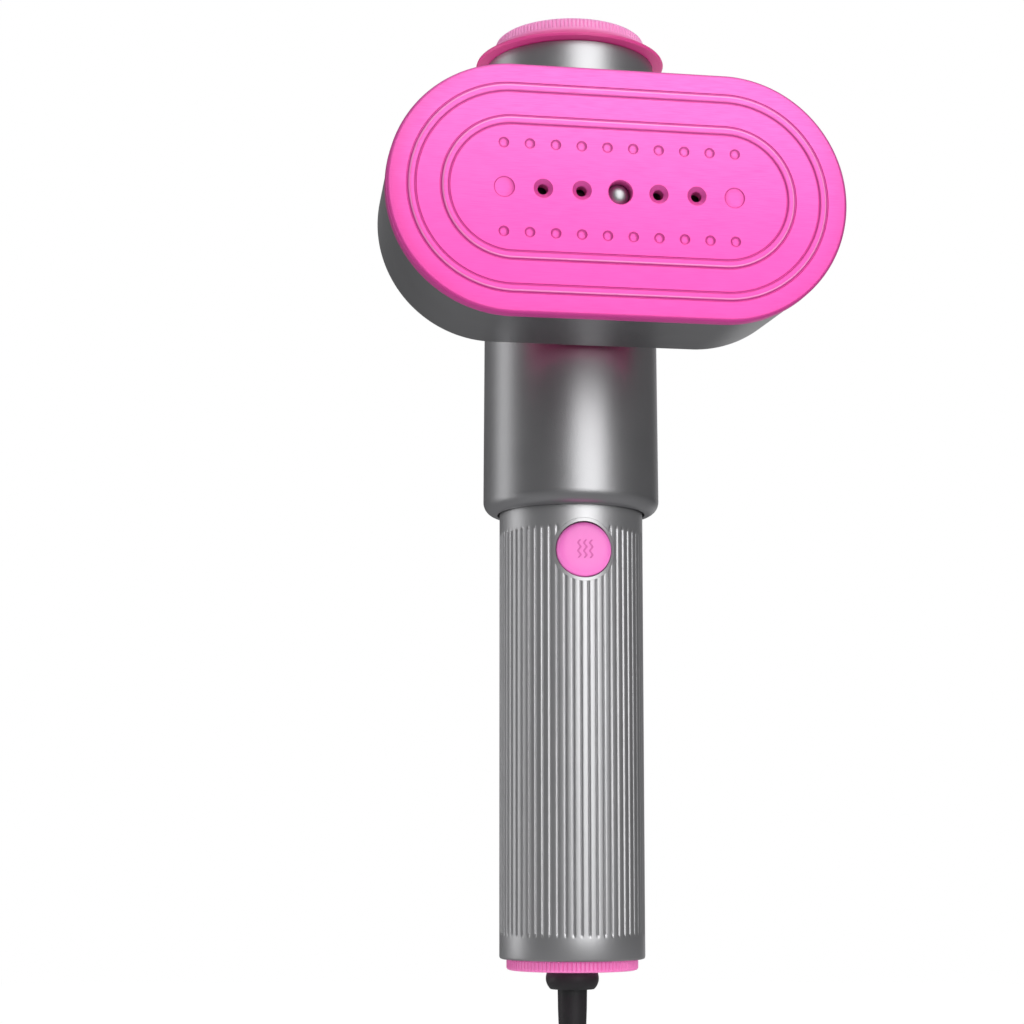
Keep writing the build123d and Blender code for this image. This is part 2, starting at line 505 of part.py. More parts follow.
# ---- Mains lead: hanging run, neat round coil held by a strap, tail and two-pin plug ----
COIL_Z = -205.0
LAYER = CORD_D * math.cos(math.radians(30))
COIL_OUTER_R = COIL_INNER_R + LAYER
SIDE = COIL_OUTER_R + CORD_D
COIL_HALF = 2 * CORD_D
route = [
    (0, 0, CORD_START),
    (0, 0, -119),
    (-COIL_OUTER_R, -CORD_D, -172),
    (-COIL_OUTER_R, -CORD_D, COIL_Z),
]
keep("cord_run", bent_tube(route, CORD_R))
tail = [(-SIDE + 5, 0, -189), (-SIDE - 1, 0, -208), (-SIDE - 1, 0, -224)]
keep("cord_tail", bent_tube(tail, CORD_R))


def coil_band(low_r, high_r, half):
    """A round band about the coil's own axis, which lies along Y."""
    return tube_y(high_r, low_r, -half, half, (0, COIL_Z))


coil = coil_band(COIL_INNER_R - CORD_R, COIL_OUTER_R + CORD_R, COIL_HALF)
keep("cord_coil", fillet([e for e in coil.edges() if abs(abs(e.center().Y) - COIL_HALF) < 0.01], 3.2))
STRAP_WIDE = 12.0
TOP_MID = COIL_Z + (COIL_INNER_R + COIL_OUTER_R) / 2
STRAP_DEEP = LAYER + CORD_D + 1.4
strap = Pos(0, 0, TOP_MID) * Box(STRAP_WIDE, 2 * COIL_HALF + 4, STRAP_DEEP + 2.4)
strap -= Pos(0, 0, TOP_MID) * Box(STRAP_WIDE + 2, 2 * COIL_HALF + 1, STRAP_DEEP)
keep("cord_strap", fillet(strap.edges().filter_by(Axis.X), 0.4))
PLUG_AT = (-SIDE - 1, 0)
NECK_HIGH = tail[-1][2]
NECK_LOW = NECK_HIGH - 16
PLUG_LOW = NECK_LOW - 35.5
PLUG_HALF = 17.6
plug = Pos(*PLUG_AT, (NECK_HIGH + NECK_LOW) / 2) * Cone(5.6, 4.4, NECK_HIGH - NECK_LOW)
with BuildSketch(Plane.YZ.offset(PLUG_AT[0])) as plug_face:
    with BuildLine():
        Polyline((-6, NECK_LOW), (-PLUG_HALF, NECK_LOW - 13), (-PLUG_HALF, PLUG_LOW))
        Polyline((6, NECK_LOW), (PLUG_HALF, NECK_LOW - 13), (PLUG_HALF, PLUG_LOW))
        Line((-6, NECK_LOW), (6, NECK_LOW))
        Line((-PLUG_HALF, PLUG_LOW), (PLUG_HALF, PLUG_LOW))
    make_face()
plug += fillet(extrude(plug_face.sketch, 6.85, both=True).edges().filter_by(Axis.X), 1.5)
keep("plug_body", plug)
PIN_R = 2.0
PIN_LENGTH = 19.0
PIN_HALF_GAP = 9.5
pins = []
for side in (-1, 1):
    pins.append(tube_z(PIN_R, 0, PLUG_LOW - PIN_LENGTH, PLUG_LOW - FIT, (PLUG_AT[0], side * PIN_HALF_GAP)))
keep("plug_pins", Compound(children=[s for pin in pins for s in pin.solids()]))
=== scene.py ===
import math

import bpy
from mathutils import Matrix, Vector


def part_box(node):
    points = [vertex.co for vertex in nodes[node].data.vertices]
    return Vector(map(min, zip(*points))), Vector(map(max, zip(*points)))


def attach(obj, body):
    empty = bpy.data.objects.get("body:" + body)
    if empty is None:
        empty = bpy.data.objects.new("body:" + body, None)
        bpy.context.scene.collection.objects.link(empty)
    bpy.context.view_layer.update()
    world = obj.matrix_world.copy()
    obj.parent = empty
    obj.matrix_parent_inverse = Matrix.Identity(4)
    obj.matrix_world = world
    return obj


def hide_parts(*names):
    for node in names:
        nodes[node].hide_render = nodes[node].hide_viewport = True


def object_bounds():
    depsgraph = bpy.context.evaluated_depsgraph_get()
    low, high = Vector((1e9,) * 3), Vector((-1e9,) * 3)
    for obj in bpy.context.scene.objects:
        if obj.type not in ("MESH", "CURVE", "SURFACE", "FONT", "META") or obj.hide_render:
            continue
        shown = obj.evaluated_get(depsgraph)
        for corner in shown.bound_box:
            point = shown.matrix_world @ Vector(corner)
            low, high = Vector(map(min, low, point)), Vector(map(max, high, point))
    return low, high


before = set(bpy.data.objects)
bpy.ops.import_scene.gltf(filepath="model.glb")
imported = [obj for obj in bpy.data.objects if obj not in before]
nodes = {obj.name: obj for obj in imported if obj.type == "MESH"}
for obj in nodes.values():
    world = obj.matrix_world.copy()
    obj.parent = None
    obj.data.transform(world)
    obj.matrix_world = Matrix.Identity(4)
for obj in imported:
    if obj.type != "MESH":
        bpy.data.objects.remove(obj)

cad_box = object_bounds()
scene = bpy.context.scene

# ---------------------------------------------------------------------------------------------
# Camera: a long lens a little to the left of the soleplate and level with the lower part of the
# grip. It is level from side to side and looks slightly up at the head.
CAMERA_REACH = 0.6503
CAMERA_SIDE = math.radians(-10.78)
CAMERA_HEIGHT = -0.0374
CAMERA_TILT = math.radians(6.52)
CAMERA_HEADING = math.radians(-9.18)
CAMERA_LENS = 74.95
CAMERA_SHIFT = 0.1

camera = bpy.data.objects.new("camera", bpy.data.cameras.new("camera"))
scene.collection.objects.link(camera)
camera.location = (
    CAMERA_REACH * math.sin(CAMERA_SIDE),
    -CAMERA_REACH * math.cos(CAMERA_SIDE),
    CAMERA_HEIGHT,
)
camera.rotation_euler = (math.radians(90) + CAMERA_TILT, 0, CAMERA_HEADING)
camera.data.lens = CAMERA_LENS
camera.data.sensor_width = 36
camera.data.shift_y = CAMERA_SHIFT
scene.camera = camera

# ---------------------------------------------------------------------------------------------
# Barrel: an aluminium tube with a rolled lower lip, bead-blasted and anodised grey. The saddle of
# the swivel and the collar under the lip are turned from the same metal.


class Wire:
    """A value in a finish. Arithmetic on wires adds Math nodes."""

    def __init__(self, finish, socket):
        self.finish, self.socket = finish, socket

    def maths(self, operation, *others):
        return self.finish.node("ShaderNodeMath", {"operation": operation}, dict(enumerate((self, *others))))

    def __add__(self, other):
        return self.maths("ADD", other)

    __radd__ = __add__

    def __mul__(self, other):
        return self.maths("MULTIPLY", other)

    __rmul__ = __mul__

    def __sub__(self, other):
        return self.maths("SUBTRACT", other)

    def __rsub__(self, other):
        return self.maths("MULTIPLY_ADD", -1.0, other)

    def __truediv__(self, other):
        return self.maths("DIVIDE", other)

    def band(self, low, high):
        """0 below low, 1 above high, smooth between."""
        ends = {"Value": self, "From Min": low, "From Max": high}
        return self.finish.node("ShaderNodeMapRange", {"interpolation_type": "SMOOTHSTEP"}, ends)


class Nodes:
    """A node tree, with one method that adds any node to it."""

    def __init__(self, tree):
        self.tree = tree

    def feed(self, socket, value):
        if isinstance(value, Wire):
            self.tree.links.new(value.socket, socket)
        elif isinstance(value, tuple) and socket.type == "RGBA":
            socket.default_value = (*value, 1) if len(value) == 3 else value
        else:
            socket.default_value = value

    def node(self, kind, settings=None, inputs=None, out=0):
        made = self.tree.nodes.new(kind)
        for key, value in (settings or {}).items():
            if key == "stops":
                ends = made.color_ramp.elements
                ends[0].position, ends[0].color = value[0][0], (*value[0][1], 1)
                ends[1].position, ends[1].color = value[-1][0], (*value[-1][1], 1)
                for place, colour in value[1:-1]:
                    ends.new(place).color = (*colour, 1)
            else:
                setattr(made, key, value)
        for key, value in (inputs or {}).items():
            self.feed(made.inputs[key], value)
        return Wire(self, made.outputs[out])


class Finish(Nodes):
    """A material with its Principled shader."""

    def __init__(self, name, **values):
        self.material = bpy.data.materials.new(name)
        self.material.use_nodes = True
        super().__init__(self.material.node_tree)
        self.shader = self.tree.nodes["Principled BSDF"]
        self.spot = self.node("ShaderNodeTexCoord", out="Object")
        self.set(**values)

    def set(self, **values):
        """Gives the shader's own sockets a value or a wire, as in Base_Color=(0.5, 0.5, 0.5)."""
        for key, value in values.items():
            self.feed(self.shader.inputs[key.replace("_", " ")], value)

    def grain(self, size, detail=3.0, stretch=(1, 1, 1), seed=0.0):
        """Noise from 0 to 1 with lumps about size metres across, drawn out along an axis by stretch."""
        scale = tuple(1 / (size * s) for s in stretch)
        place = {"Vector": self.spot, "Scale": scale, "Location": (seed,) * 3}
        moved = self.node("ShaderNodeMapping", None, place)
        return self.node("ShaderNodeTexNoise", None, {"Vector": moved, "Scale": 1.0, "Detail": detail})

    def axes(self):
        """The three Object coordinates as wires, in metres."""
        parts = self.node("ShaderNodeSeparateXYZ", None, {"Vector": self.spot})
        return [Wire(self, parts.socket.node.outputs[i]) for i in range(3)]

    def mix(self, first, second, share):
        """Between two colours, each a tuple or a wire."""
        return self.node("ShaderNodeMix", {"data_type": "RGBA"}, {0: share, 6: first, 7: second}, out=2)

    def bump(self, height, depth, strength=1.0):
        inputs = {"Height": height, "Distance": depth, "Strength": strength}
        return self.node("ShaderNodeBump", None, inputs)


def worked(name, colour, other, rough, play, size, depth, stretch=(1, 1, 1), **values):
    """A finish whose colour and gloss drift a little over the surface, with a fine bump."""
    made = Finish(name, **values)
    drift = made.grain(size * 30, 4.0, seed=3.0)
    fine = made.grain(size, 2.0, stretch)
    made.set(
        Base_Color=made.mix(colour, other, drift * 0.7 + fine * 0.3),
        Roughness=fine * play + (rough - play / 2) + drift * play * 0.5,
        Normal=made.bump(fine, depth),
    )
    return made


def finish_nodes(made, *names):
    """Gives these frame nodes the finish."""
    for name in names:
        data = nodes[name].data
        data.materials.clear()
        data.materials.append(made.material)


grey_metal = worked(
    "grey_metal", (0.44, 0.44, 0.45), (0.52, 0.52, 0.53), 0.38, 0.06, 0.00035, 0.00002, Metallic=1.0
)
finish_nodes(grey_metal, "barrel_shell", "hub_saddle", "barrel_collar")

# ---------------------------------------------------------------------------------------------
# Level window: a clear acrylic strip moulded to the barrel's round. It sits flush in its slot. Its finish is
# painted shade: it is coloured near black for the dark inside the barrel seen through it, though the tank
# behind it is pale.
clear_window = worked(
    "clear_window", (0.012, 0.013, 0.015), (0.03, 0.032, 0.036), 0.12, 0.05, 0.004, 0.00001,
    Coat_Weight=1.0, Coat_Roughness=0.03,
)
finish_nodes(clear_window, "level_window")

# ---------------------------------------------------------------------------------------------
# Slot trim: a fine bright edge, left where the slot is machined through the anodised tube. Only the
# slot's lower end gets one: the outline is a 7 mm ring there, and the part of it that crosses the
# opening lies inside the barrel.
slot_low, slot_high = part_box("level_window")
SLOT_WIDE = slot_high.x - slot_low.x
SLOT_LONG = slot_high.z - slot_low.z
TRIM_SIDES = 64
TRIM_GAP = 0.0001
TRIM_WIDE = 0.0005


def unselect():
    """Leaves nothing selected, in object mode."""
    if bpy.context.object and bpy.context.object.mode == "EDIT":
        bpy.ops.object.mode_set(mode="OBJECT")
    bpy.ops.object.select_all(action="DESELECT")


def only(piece):
    """Selects this piece alone and makes it active."""
    unselect()
    piece.select_set(True)
    bpy.context.view_layer.objects.active = piece


def settle(piece):
    """Puts the piece's place, turn and size into its mesh."""
    only(piece)
    bpy.ops.object.transform_apply(location=True, rotation=True, scale=True)


def picked(piece, chosen):
    """Opens the piece for editing with the chosen vertices selected."""
    only(piece)
    bpy.ops.object.mode_set(mode="EDIT")
    bpy.ops.mesh.select_mode(type="VERT")
    bpy.ops.mesh.select_all(action="DESELECT")
    bpy.ops.object.mode_set(mode="OBJECT")
    for vertex in piece.data.vertices:
        vertex.select = chosen(vertex.co)
    bpy.ops.object.mode_set(mode="EDIT")


def joined(pieces, name):
    """Makes one piece of several."""
    only(pieces[0])
    for piece in pieces:
        piece.select_set(True)
    bpy.ops.object.join()
    pieces[0].name = name
    return pieces[0]


def wrapped_on(piece, node, proud):
    """Lays the piece on a node's outside, seen along Y."""
    only(piece)
    wrap = piece.modifiers.new("wrap", "SHRINKWRAP")
    wrap.target = nodes[node]
    wrap.wrap_method = "PROJECT"
    wrap.wrap_mode = "ABOVE_SURFACE"
    wrap.use_project_y = True
    wrap.use_negative_direction = True
    wrap.use_positive_direction = False
    wrap.offset = proud
    bpy.ops.object.modifier_apply(modifier="wrap")


def hand_over(piece, made, body, slot, *replaced, angle=35):
    """Smooths the piece, gives it its finish, hangs it under its body and hides the frame nodes it replaces.
    """
    only(piece)
    if angle:
        bpy.ops.object.shade_smooth_by_angle(angle=math.radians(angle))
    piece.data.materials.clear()
    piece.data.materials.append(made.material)
    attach(piece, body)
    if replaced:
        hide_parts(*replaced)
    return piece


unselect()
bpy.ops.mesh.primitive_circle_add(vertices=TRIM_SIDES, radius=SLOT_WIDE / 2 + TRIM_GAP, fill_type="NOTHING")
trim = bpy.context.object
trim.rotation_euler = (0, 0, math.pi / TRIM_SIDES)
settle(trim)
for way in (-1, 1):
    for vertex in trim.data.vertices:
        vertex.select = vertex.co.y * way > 0
    bpy.ops.object.mode_set(mode="EDIT")
    bpy.ops.transform.translate(value=(0, way * (SLOT_LONG - SLOT_WIDE) / 2, 0))
    bpy.ops.mesh.select_all(action="DESELECT")
    bpy.ops.object.mode_set(mode="OBJECT")
bpy.ops.object.mode_set(mode="EDIT")
bpy.ops.mesh.select_all(action="SELECT")
bpy.ops.mesh.extrude_region_move(TRANSFORM_OT_translate={"value": (0, 0, 0)})
grown = (1 + 2 * TRIM_WIDE / SLOT_WIDE, 1 + 2 * TRIM_WIDE / SLOT_LONG, 1)
bpy.ops.transform.resize(value=grown, center_override=(0, 0, 0))
bpy.ops.object.mode_set(mode="OBJECT")
trim.rotation_euler = (math.radians(90), 0, 0)
trim.location = (0, 0.040, (slot_low.z + slot_high.z) / 2)
settle(trim)
trim.name = "slot_trim"
wrapped_on(trim, "barrel_shell", 0.00003)
bare_metal = worked(
    "bare_metal", (0.78, 0.78, 0.79), (0.88, 0.88, 0.89), 0.22, 0.06, 0.0003, 0.00001, Metallic=1.0
)
hand_over(trim, bare_metal, "body", "grey_metal", angle=60)

# ---------------------------------------------------------------------------------------------
# Display: a gloss black lens wrapped round the back of the barrel, with a three-figure reading lit
# from behind it and four small symbols printed on its lower edge.
lens_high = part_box("display_lens")[1]
FIGURE_HIGH = 0.0155
FIGURE_WIDE = 0.0086
FIGURE_PITCH = 0.012
BAR_WIDE = 0.0019
BAR_GAP = 0.0004  # left between one bar and the next
BAR_TAPER = 0.25
FIGURE_SLANT = math.radians(5)
figure_z = lens_high.z - 0.018
LIT_BARS = {"1": "bc", "5": "acdfg", "0": "abcdef"}


def bar(length, wide, at, turn=0.0):
    """A flat lit bar with tapered ends that faces +Y and is cut fine enough to wrap on the lens."""
    unselect()
    bpy.ops.mesh.primitive_grid_add(x_subdivisions=10, y_subdivisions=4, size=1)
    piece = bpy.context.object
    piece.scale = (length, wide, 1)
    settle(piece)
    picked(piece, lambda co: abs(co.x) > length * 0.49)
    bpy.ops.transform.resize(value=(1, BAR_TAPER, 1), center_override=(0, 0, 0))
    bpy.ops.object.mode_set(mode="OBJECT")
    piece.rotation_euler = (math.radians(-90), turn, 0)
    piece.location = at
    settle(piece)
    return piece


half = FIGURE_HIGH / 2 - BAR_WIDE / 2
side = FIGURE_WIDE / 2 - BAR_WIDE / 2
lit = []
for place, figure in enumerate("150"):
    middle = (1 - place) * FIGURE_PITCH
    for name in LIT_BARS[figure]:
        if name in "agd":
            rise = {"a": half, "g": 0.0, "d": -half}[name]
            across, length, turn = 0.0, FIGURE_WIDE - BAR_WIDE - BAR_GAP, 0.0
        else:
            rise = half / 2 if name in "bf" else -half / 2
            across = -side if name in "bc" else side
            length, turn = half - BAR_GAP, math.radians(90) - FIGURE_SLANT
        x = middle + across - rise * math.tan(FIGURE_SLANT)
        lit.append(bar(length, BAR_WIDE, (x, 0.035, figure_z + rise), turn))
figures = joined(lit, "display_figures")
wrapped_on(figures, "display_lens", 0.00008)
digit_light = Finish("digit_light", Base_Color=(0.35, 0.6, 0.9), Roughness=0.3)
glow = digit_light.grain(0.003, 2.0)
digit_light.set(
    Emission_Color=digit_light.mix((0.20, 0.34, 1.0), (0.34, 0.48, 1.0), glow), Emission_Strength=1.5
)
hand_over(figures, digit_light, "body", "digit_light", "display_digits", angle=0)

smoked_lens = Finish("smoked_lens", Coat_Weight=0.6, Coat_Roughness=0.02, IOR=1.5)
x, y, z = smoked_lens.axes()
# Painted glow: the lens itself shines blue round each figure, standing in for the backlight spreading through
# it.
figure_painted_glow = None
for place in range(3):
    middle = (1 - place) * FIGURE_PITCH - (side if place == 0 else 0)
    dx = (x - middle) / (FIGURE_WIDE * (0.4 if place == 0 else 0.72))
    dz = (z - figure_z) / (FIGURE_HIGH * 0.72)
    near = 1 - (dx * dx + dz * dz).band(0.05, 1.15)
    figure_painted_glow = near if figure_painted_glow is None else figure_painted_glow + near
smudge = smoked_lens.grain(0.012, 4.0)
smoked_lens.set(
    Base_Color=smoked_lens.mix((0.004, 0.004, 0.005), (0.012, 0.012, 0.014), smudge),
    Roughness=smudge * 0.05 + 0.03,
    Emission_Color=smoked_lens.mix((0.0, 0.0, 0.0), (0.0, 0.045, 0.55), figure_painted_glow * y.band(0.0, 0.02)),
    Emission_Strength=0.5,
)
finish_nodes(smoked_lens, "display_lens")

SYMBOL_R = 0.0011
SYMBOL_LINE = 0.00035
SYMBOL_REACH = 0.0272  # just outside the lens
SYMBOL_SIDES = (3, 24, 4, 0)  # a triangle, a ring, a square, and three bars for 0
symbols = []
symbol_z = lens_high.z - 0.035
for k, sides in enumerate(SYMBOL_SIDES):
    marks = []
    if sides:
        unselect()
        bpy.ops.mesh.primitive_circle_add(vertices=sides, radius=SYMBOL_R, fill_type="NGON")
        mark = bpy.context.object
        mark.rotation_euler = (math.radians(-90), math.radians(45 if sides == 4 else 30), 0)
        mark.location = (0, SYMBOL_REACH, symbol_z)
        settle(mark)
        bpy.ops.object.mode_set(mode="EDIT")
        bpy.ops.mesh.select_all(action="SELECT")
        bpy.ops.mesh.inset(thickness=SYMBOL_LINE)
        bpy.ops.mesh.delete(type="FACE")
        bpy.ops.object.mode_set(mode="OBJECT")
        marks.append(mark)
    else:
        for step in (-1, 0, 1):
            marks.append(bar(0.0018, 0.0003, (0, SYMBOL_REACH, symbol_z + step * 0.0007)))
    mark = joined(marks, "symbol")
    mark.rotation_euler = (0, 0, math.radians(-45 + 30 * k))
    settle(mark)
    symbols.append(mark)
symbols = joined(symbols, "display_symbols")
print_grey = worked("print_grey", (0.30, 0.31, 0.33), (0.42, 0.43, 0.45), 0.5, 0.1, 0.0004, 0.00001)
hand_over(symbols, print_grey, "body", "digit_light", angle=0)

# ---------------------------------------------------------------------------------------------
# Grip: a satin anodised aluminium sleeve with 58 rounded reeds between plain bands, a push fit on
# the plastic liner that runs up into the barrel.
grip_low, grip_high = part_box("grip_sleeve")
button_low, button_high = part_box("steam_button")
button_z = (button_low.z + button_high.z) / 2
GRIP_R = 0.022
REEDS = 58
SIDES_A_REED = 8
BAND = 0.007  # plain at the grip's lower end
COLLAR = 0.006  # plain at its upper end
GRIP_LENGTH = 0.135
grip_top = grip_low.z + GRIP_LENGTH


def turned(name, outline, sides, forward=None):
    """A shape turned about Z from (radius, height) rings. It is closed by its two ends, or it is a
    ring if its last ring is its first. With forward, a level, its axis points along -Y there."""
    unselect()
    ring = outline[0] == outline[-1]
    radius, level = outline[0]
    bpy.ops.mesh.primitive_circle_add(
        vertices=sides, radius=radius, fill_type="NOTHING" if ring else "NGON", location=(0, 0, level)
    )
    piece = bpy.context.object
    piece.name = name
    settle(piece)
    bpy.ops.object.mode_set(mode="EDIT")
    bpy.ops.mesh.select_all(action="SELECT")
    for new_radius, new_level in outline[1:]:
        bpy.ops.mesh.extrude_region_move(TRANSFORM_OT_translate={"value": (0, 0, new_level - level)})
        share = new_radius / radius
        bpy.ops.transform.resize(value=(share, share, 1), center_override=(0, 0, new_level))
        radius, level = new_radius, new_level
    bpy.ops.mesh.select_all(action="SELECT")
    if ring:
        bpy.ops.mesh.remove_doubles(threshold=1e-6)
    bpy.ops.mesh.normals_make_consistent(inside=False)
    bpy.ops.object.mode_set(mode="OBJECT")
    if forward is not None:
        piece.rotation_euler = (math.radians(90), 0, 0)
        piece.location = (0, 0, forward)
        settle(piece)
    return piece


def scaled_where(piece, chosen, share):
    """Brings the chosen vertices towards the Z axis."""
    picked(piece, chosen)
    bpy.ops.transform.resize(value=(share, share, 1), center_override=(0, 0, 0))
    bpy.ops.object.mode_set(mode="OBJECT")


def side_of(place, sides):
    """Which of a turned shape's sides a vertex is on."""
    return round((math.atan2(place.y, place.x) % (2 * math.pi)) / (2 * math.pi / sides)) % sides


def cut(piece, tool):
    """Takes the tool's shape out of the piece."""
    only(piece)
    taken = piece.modifiers.new("cut", "BOOLEAN")
    taken.operation, taken.solver, taken.object = "DIFFERENCE", "EXACT", tool
    bpy.ops.object.modifier_apply(modifier="cut")
    bpy.data.objects.remove(tool)


reeds_low, reeds_high = grip_low.z + BAND, grip_top - COLLAR
outline = [
    (GRIP_R - 0.0018, grip_low.z + 0.002),
    (GRIP_R - 0.0044, grip_low.z + 0.002),
    (GRIP_R - 0.0044, grip_low.z),
    (GRIP_R - 0.0007, grip_low.z),
    (GRIP_R - 0.0002, grip_low.z + 0.0002),
    (GRIP_R, grip_low.z + 0.0007),
    (GRIP_R, reeds_low - 0.0004),
    (GRIP_R, reeds_low - 0.0001),
    (GRIP_R, reeds_low + 0.0004),
    (GRIP_R, reeds_low + 0.0012),
    (GRIP_R, reeds_high - 0.0012),
    (GRIP_R, reeds_high - 0.0004),
    (GRIP_R, reeds_high + 0.0001),
    (GRIP_R, reeds_high + 0.0004),
    (GRIP_R, grip_high.z),
    (GRIP_R - 0.0018, grip_high.z),
    (GRIP_R - 0.0018, grip_low.z + 0.002),
]
grip = turned("grip_sleeve_reeded", outline, REEDS * SIDES_A_REED)
# How far each side of a reed lies under its crown. Side 0 is the furrow between two reeds.
REED_DEPTH = {0: 0.00042, 1: 0.00007, 7: 0.00007, 2: 0.00002, 6: 0.00002}
for ends, depth_share in ((0.0012, 1.0), (0.0004, 0.6)):
    for step, depth in REED_DEPTH.items():
        scaled_where(
            grip,
            lambda co: math.hypot(co.x, co.y) > GRIP_R - 0.00001
            and (abs(co.z - reeds_low - ends) < 1e-5 or abs(co.z - reeds_high + ends) < 1e-5)
            and side_of(co, REEDS * SIDES_A_REED) % SIDES_A_REED == step,
            1 - depth * depth_share / GRIP_R,
        )
guide_low, guide_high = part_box("button_guide")
GUIDE_R = (guide_high.x - guide_low.x) / 2
hole = turned("hole", [(GUIDE_R + 0.00005, 0.010), (GUIDE_R + 0.00005, 0.030)], 96, forward=button_z)
cut(grip, hole)
grip_metal = worked(
    "grip_metal", (0.60, 0.60, 0.61), (0.68, 0.68, 0.69), 0.42, 0.06, 0.00035, 0.000015, Metallic=1.0
)
hand_over(grip, grip_metal, "body", "grip_metal", "grip_sleeve", angle=50)
finish_nodes(grip_metal, "button_guide")

# ---------------------------------------------------------------------------------------------
# Steam button: a moulded pink push button with a slightly domed face and three rising strokes of
# steam pressed into it. It slides in a guide ring that is cut to the grip's round.
button_face = -button_low.y
BUTTON_R = 0.00825
STROKE_PITCH = 0.0018
STROKE_HALF = 0.0026  # half of a stroke's height
STROKE_SWAY = 0.00035
outline = [
    (0.0093, -button_high.y),
    (0.0093, -button_high.y + 0.001),
    (BUTTON_R, -button_high.y + 0.001),
    (BUTTON_R, button_face - 0.0019),
    (BUTTON_R - 0.00015, button_face - 0.0013),
    (BUTTON_R - 0.0005, button_face - 0.0008),
    (BUTTON_R - 0.0010, button_face - 0.00048),
    (BUTTON_R - 0.0018, button_face - 0.00028),
    (BUTTON_R - 0.0030, button_face - 0.00014),
    (BUTTON_R - 0.0045, button_face - 0.00005),
    (BUTTON_R - 0.0065, button_face),
]
button = turned("steam_button_cap", outline, 128, forward=button_z)
button_pink = Finish("button_pink", Coat_Weight=0.2, Coat_Roughness=0.25)
x, y, z = button_pink.axes()
rise = z - button_z
wave = (rise * 2600).maths("SINE") * STROKE_SWAY
strokes = None
for k in (-1, 0, 1):
    off = (x - k * STROKE_PITCH - wave).maths("ABSOLUTE")
    one = 1 - off.band(0.00022, 0.00034)
    strokes = one if strokes is None else strokes + one
ends = 1 - rise.maths("ABSOLUTE").band(STROKE_HALF, STROKE_HALF + 0.0002)
strokes = strokes * ends * (1 - y.band(-0.0223, -0.0221))
fine = button_pink.grain(0.0005, 2.0)
button_pink.set(
    Base_Color=button_pink.mix((0.93, 0.20, 0.62), (0.68, 0.08, 0.38), strokes * 0.8 + fine * 0.1),
    Roughness=fine * 0.08 + 0.32,
    Normal=button_pink.bump(fine * 0.03 - strokes, 0.00015),
)
hand_over(button, button_pink, "button", "pink_plastic", "steam_button", angle=40)

# ---------------------------------------------------------------------------------------------
# Screw cap: moulded in rose pink, with fine ribs round its band, a concave flare to a soft brim and
# a threaded skirt that screws onto the tank's neck.
cap_low, cap_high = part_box("tank_cap")
barrel_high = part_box("barrel_shell")[1]
CAP_R = (cap_high.x - cap_low.x) / 2
CAP_BAND_R = 0.02335
CAP_RIBS = 120
brim = barrel_high.z + 0.0003
top = cap_high.z
SKIRT_R = 0.018
SKIRT_BORE_R = 0.01525
ceiling = barrel_high.z + 0.0036
outline = [
    (SKIRT_BORE_R, ceiling),
    (SKIRT_BORE_R, cap_low.z),
    (SKIRT_R, cap_low.z),
    (SKIRT_R, brim),
    (CAP_R - 0.0008, brim),
    (CAP_R - 0.0002, brim + 0.00025),
    (CAP_R, brim + 0.0008),
    (CAP_R - 0.0002, brim + 0.0013),
    (CAP_R - 0.0008, brim + 0.0017),
    (CAP_R - 0.0020, brim + 0.0021),
    (CAP_R - 0.0034, brim + 0.0026),
    (CAP_R - 0.0046, brim + 0.0032),
    (CAP_R - 0.0055, brim + 0.0040),
    (CAP_BAND_R + 0.0002, brim + 0.0046),
    (CAP_BAND_R, brim + 0.0051),
    (CAP_BAND_R, brim + 0.0055),
    (CAP_BAND_R, top - 0.0009),
    (CAP_BAND_R - 0.0002, top - 0.0005),
    (CAP_BAND_R - 0.0007, top - 0.0001),
    (CAP_BAND_R - 0.0014, top),
    (CAP_BAND_R - 0.0040, top),
]
cap = turned("tank_cap_ribbed", outline, CAP_RIBS * 4)
scaled_where(
    cap,
    lambda co: brim + 0.0053 < co.z < top - 0.0004
    and math.hypot(co.x, co.y) > CAP_BAND_R - 0.0003
    and side_of(co, CAP_RIBS * 4) % 4 == 0,
    1 - 0.00045 / CAP_BAND_R,
)
cap_pink = Finish("cap_pink", Specular_IOR_Level=0.5, Coat_Weight=0.15, Coat_Roughness=0.25)
x, y, z = cap_pink.axes()
# Painted shade: below the ribbed band the flare and brim are mixed to a darker magenta, for the shade on
# their underside.
flare_painted_shade = 1 - z.band(brim + 0.0030, brim + 0.0060)
fine = cap_pink.grain(0.0005, 2.0)
rose = cap_pink.mix((0.95, 0.33, 0.66), (0.98, 0.39, 0.72), fine)
cap_pink.set(
    Base_Color=cap_pink.mix(rose, (0.80, 0.055, 0.30), flare_painted_shade),
    Roughness=fine * 0.08 + 0.32,
    Normal=cap_pink.bump(fine, 0.00001),
)
hand_over(cap, cap_pink, "cap", "pink_plastic", "tank_cap", angle=40)

# ---------------------------------------------------------------------------------------------
# Soleplate: cast aluminium with a brushed pink coating. Two bead rings follow its outline, and steam
# holes and shallow dimples are machined into the field between them.
plate_low, plate_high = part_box("soleplate")
hub_z = (plate_low.z + plate_high.z) / 2
PLATE_LONG = plate_high.x - plate_low.x
PLATE_WIDE = plate_high.z - plate_low.z
PLATE_THICK = 0.004
plate_back = -plate_high.y
plate_face = plate_back + PLATE_THICK
CORNER_SIDES = 96


